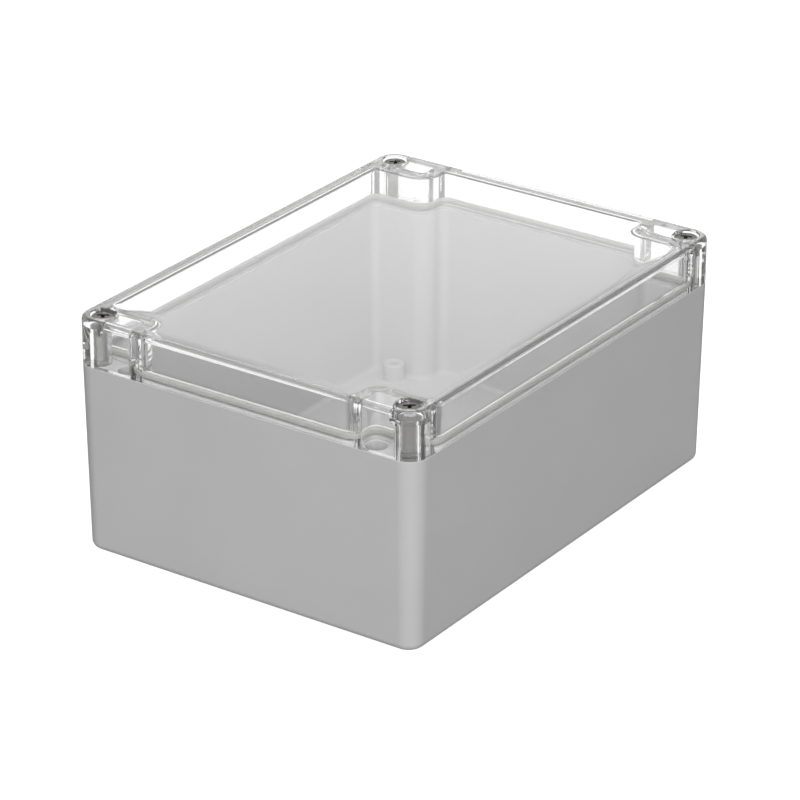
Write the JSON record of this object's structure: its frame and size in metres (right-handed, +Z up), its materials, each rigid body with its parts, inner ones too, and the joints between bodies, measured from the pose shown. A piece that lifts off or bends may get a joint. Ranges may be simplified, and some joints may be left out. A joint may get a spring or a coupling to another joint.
{
  "type": "clear-lid polycarbonate enclosure",
  "caption": "Rectangular sealed box for electronics: a grey moulded base with corner columns and a clear lift-off lid held down by corner screws.",
  "frame": {"origin": "centre of the base's underside, on the surface that it stands on", "axes": "+X along the long side, +Y along the short side, +Z up through the lid"},
  "size_m": [0.16, 0.12, 0.075],
  "materials": {
    "base_plastic": "fine moulded texture, light grey polycarbonate",
    "clear_plastic": "polished, water-clear polycarbonate",
    "gasket_silicone": "soft grey silicone",
    "screw_steel": "plain stainless steel",
    "ring_nylon": "black nylon",
    "insert_brass": "plain turned brass"
  },
  "bodies": {
    "base": {"base": "base_plastic", "threaded_insert_front_left": "insert_brass", "threaded_insert_front_right": "insert_brass", "threaded_insert_rear_right": "insert_brass", "threaded_insert_rear_left": "insert_brass"},
    "lid": {"lid": "clear_plastic", "gasket": "gasket_silicone"},
    "ring_front_left": {"retaining_ring_front_left": "ring_nylon"},
    "screw_front_left": {"lid_screw_front_left": "screw_steel"},
    "ring_front_right": {"retaining_ring_front_right": "ring_nylon"},
    "screw_front_right": {"lid_screw_front_right": "screw_steel"},
    "ring_rear_right": {"retaining_ring_rear_right": "ring_nylon"},
    "screw_rear_right": {"lid_screw_rear_right": "screw_steel"},
    "ring_rear_left": {"retaining_ring_rear_left": "ring_nylon"},
    "screw_rear_left": {"lid_screw_rear_left": "screw_steel"}
  },
  "joints": [
    {"name": "lid_lift", "type": "slide", "parent": "base", "child": "lid", "axis": [0, 0, 1], "range_m": [0, 0.06]},
    {"name": "screw_rise_front_left", "type": "slide", "parent": "lid", "child": "ring_front_left", "axis": [0, 0, 1], "range_m": [0, 0.0085]},
    {"name": "screw_turn_front_left", "type": "hinge", "parent": "ring_front_left", "child": "screw_front_left", "pos_m": [-0.0737, -0.0537, 0.0715], "axis": [0, 0, 1], "range_deg": [0, 4375]},
    {"name": "screw_rise_front_right", "type": "slide", "parent": "lid", "child": "ring_front_right", "axis": [0, 0, 1], "range_m": [0, 0.0085]},
    {"name": "screw_turn_front_right", "type": "hinge", "parent": "ring_front_right", "child": "screw_front_right", "pos_m": [0.0737, -0.0537, 0.0715], "axis": [0, 0, 1], "range_deg": [0, 4375]},
    {"name": "screw_rise_rear_right", "type": "slide", "parent": "lid", "child": "ring_rear_right", "axis": [0, 0, 1], "range_m": [0, 0.0085]},
    {"name": "screw_turn_rear_right", "type": "hinge", "parent": "ring_rear_right", "child": "screw_rear_right", "pos_m": [0.0737, 0.0537, 0.0715], "axis": [0, 0, 1], "range_deg": [0, 4375]},
    {"name": "screw_rise_rear_left", "type": "slide", "parent": "lid", "child": "ring_rear_left", "axis": [0, 0, 1], "range_m": [0, 0.0085]},
    {"name": "screw_turn_rear_left", "type": "hinge", "parent": "ring_rear_left", "child": "screw_rear_left", "pos_m": [-0.0737, 0.0537, 0.0715], "axis": [0, 0, 1], "range_deg": [0, 4375]}
  ],
  "couplings": [
    {"joint": "screw_turn_front_left", "follows": "screw_rise_front_left", "rad_per_m": 8976},
    {"joint": "screw_turn_front_right", "follows": "screw_rise_front_right", "rad_per_m": 8976},
    {"joint": "screw_turn_rear_right", "follows": "screw_rise_rear_right", "rad_per_m": 8976},
    {"joint": "screw_turn_rear_left", "follows": "screw_rise_rear_left", "rad_per_m": 8976}
  ]
}
